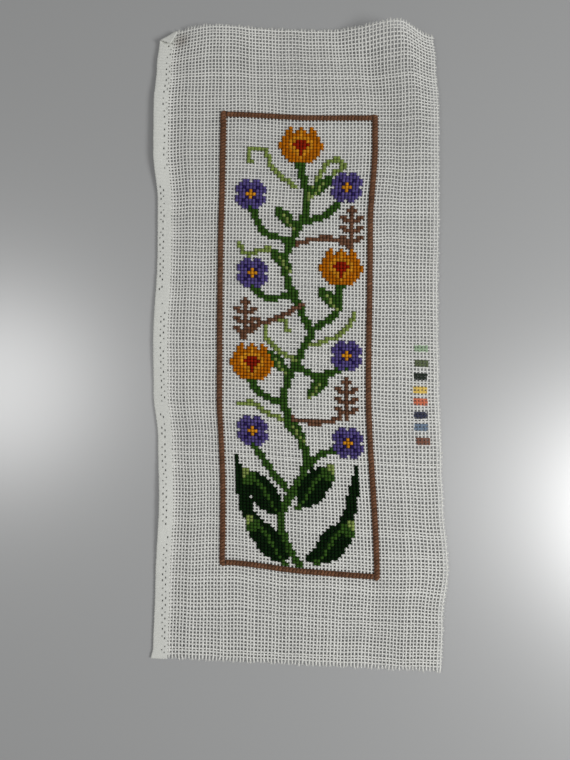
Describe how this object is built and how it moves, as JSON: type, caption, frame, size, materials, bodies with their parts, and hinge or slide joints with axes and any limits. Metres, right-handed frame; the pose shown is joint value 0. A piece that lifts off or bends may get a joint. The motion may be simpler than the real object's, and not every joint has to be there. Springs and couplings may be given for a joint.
{
  "type": "unframed cross-stitch wall hanging",
  "caption": "Length of open needlework canvas lying face up, with a woven selvedge, a turned corner and a low ridge, worked with a brown-bordered vine of flowers in wool stitches.",
  "frame": {"origin": "on the table under the centre of the whole cloth's box", "axes": "+X to the right of the worked panel seen from its face, +Y up the panel, +Z out of its face"},
  "size_m": [0.221, 0.4876, 0.0155],
  "materials": {
    "canvas_cotton": "matt starched cotton",
    "border_yarn": "matt wool",
    "green_yarn": "matt wool",
    "dark_green_yarn": "matt wool",
    "light_green_yarn": "matt wool",
    "brown_yarn": "matt wool",
    "purple_yarn": "matt wool",
    "violet_yarn": "matt wool",
    "orange_yarn": "matt wool",
    "gold_yarn": "matt wool",
    "red_yarn": "matt wool"
  },
  "bodies": {
    "root": {"canvas": "canvas_cotton", "border_stitching": "border_yarn", "stem_stitching_1": "green_yarn", "stem_stitching_2": "green_yarn", "stem_stitching_3": "green_yarn", "tendril_stitching_1": "light_green_yarn", "tendril_stitching_2": "light_green_yarn", "tendril_stitching_3": "light_green_yarn", "tendril_stitching_4": "light_green_yarn", "tendril_stitching_5": "light_green_yarn", "tendril_stitching_6": "light_green_yarn", "tendril_stitching_7": "light_green_yarn", "sprig_stitching_1": "brown_yarn", "sprig_stitching_2": "brown_yarn", "sprig_stitching_3": "brown_yarn", "tulip_stitching_1": "orange_yarn", "tulip_stitching_2": "orange_yarn", "tulip_stitching_3": "orange_yarn", "rosette_stitching_1": "purple_yarn", "rosette_stitching_2": "purple_yarn", "rosette_stitching_3": "purple_yarn", "rosette_stitching_4": "purple_yarn", "rosette_stitching_5": "purple_yarn", "rosette_stitching_6": "purple_yarn"}
  },
  "joints": []
}
